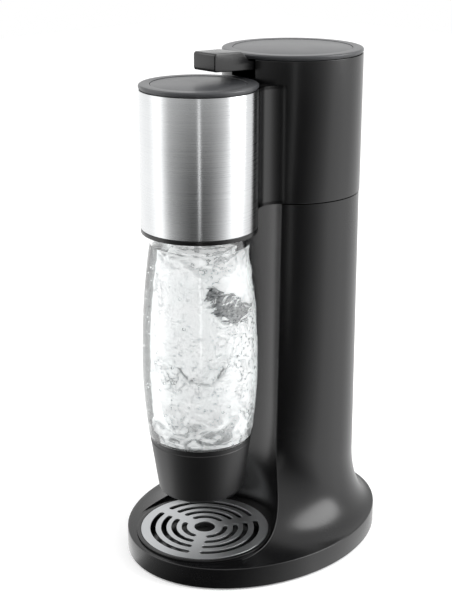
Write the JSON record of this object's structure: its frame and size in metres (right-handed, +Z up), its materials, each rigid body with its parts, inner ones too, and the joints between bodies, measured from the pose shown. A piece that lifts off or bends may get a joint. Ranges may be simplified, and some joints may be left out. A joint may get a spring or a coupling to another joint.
{
  "type": "sparkling water maker",
  "caption": "Countertop sparkling water maker: a round column and steel-clad head on an oval foot, with a clear bottle, a press lever, a drip tray with grille and a gas cylinder inside.",
  "frame": {"origin": "on the table, under the middle of the oval foot", "axes": "+X to the right of a person who faces the front, +Y to the back, +Z up"},
  "size_m": [0.1902, 0.2416, 0.4258],
  "materials": {
    "black_plastic": "semi-gloss moulded",
    "lid_plastic": "satin",
    "inner_plastic": "matte moulded",
    "white_plastic": "satin",
    "clear_plastic": "clear, polished",
    "brushed_steel": "brushed round the head",
    "grille_steel": "satin",
    "plain_steel": "zinc plated",
    "painted_metal": "satin paint",
    "brass": "turned",
    "rubber": "matte"
  },
  "bodies": {
    "machine_frame": {"lower_body": "black_plastic", "base_plate": "inner_plastic", "foot_1": "rubber", "foot_2": "rubber", "foot_3": "rubber", "foot_4": "rubber", "base_screw_1": "plain_steel", "base_screw_2": "plain_steel", "base_screw_3": "plain_steel", "base_screw_4": "plain_steel", "upper_housing": "black_plastic", "head_web": "inner_plastic", "lever_bracket": "inner_plastic", "head_sleeve": "brushed_steel", "head_ring": "black_plastic", "head_lid_rim": "lid_plastic", "head_lid_disc": "lid_plastic", "column_lid_rim": "lid_plastic", "column_lid_disc": "lid_plastic", "lever_pin": "plain_steel", "return_spring": "plain_steel", "valve_block": "brass", "block_screw_1": "plain_steel", "block_screw_2": "plain_steel", "cylinder_seat": "inner_plastic", "gas_hose": "white_plastic", "bottle_collar": "inner_plastic", "bottle_seal": "rubber", "nozzle": "white_plastic", "relief_valve": "brass"},
    "press_lever": {"lever": "black_plastic"},
    "rod": {"push_rod": "white_plastic"},
    "gas_bottle": {"gas_cylinder": "painted_metal", "cylinder_valve": "brass"},
    "gas_pin": {"valve_pin": "plain_steel"},
    "water_bottle": {"bottle": "clear_plastic", "bottle_cup": "black_plastic"},
    "tray": {"drip_tray": "black_plastic"},
    "grille": {"drip_grille": "grille_steel"},
    "cover": {"rear_cover": "black_plastic"}
  },
  "joints": [
    {"name": "lever_press", "type": "hinge", "parent": "machine_frame", "child": "press_lever", "pos_m": [0, 0.0775, 0.41], "axis": [1, 0, 0], "range_deg": [0, 3.2], "stiffness_Nm_per_rad": 2, "springref_deg": -5.73},
    {"name": "rod_push", "type": "slide", "parent": "machine_frame", "child": "rod", "axis": [0, 0, -1], "range_m": [0, 0.0016], "deforming": ["return_spring"]},
    {"name": "cylinder_turn", "type": "hinge", "parent": "machine_frame", "child": "gas_bottle", "pos_m": [0, 0.0495, 0.2], "axis": [0, 0, -1], "range_deg": [0, 1080]},
    {"name": "pin_push", "type": "slide", "parent": "gas_bottle", "child": "gas_pin", "axis": [0, 0, -1], "range_m": [0, 0.0016]},
    {"name": "bottle_drop", "type": "slide", "parent": "machine_frame", "child": "water_bottle", "axis": [0, 0, -1], "range_m": [0, 0.024]},
    {"name": "tray_lift", "type": "slide", "parent": "machine_frame", "child": "tray", "axis": [0, 0, 1], "range_m": [0, 0.012]},
    {"name": "grille_lift", "type": "slide", "parent": "tray", "child": "grille", "axis": [0, 0, 1], "range_m": [0, 0.004]},
    {"name": "cover_pull", "type": "slide", "parent": "machine_frame", "child": "cover", "axis": [0, 1, 0], "range_m": [0, 0.03]}
  ],
  "couplings": [
    {"joint": "rod_push", "follows": "lever_press", "m_per_rad": 0.028},
    {"joint": "pin_push", "follows": "lever_press", "m_per_rad": 0.028}
  ]
}
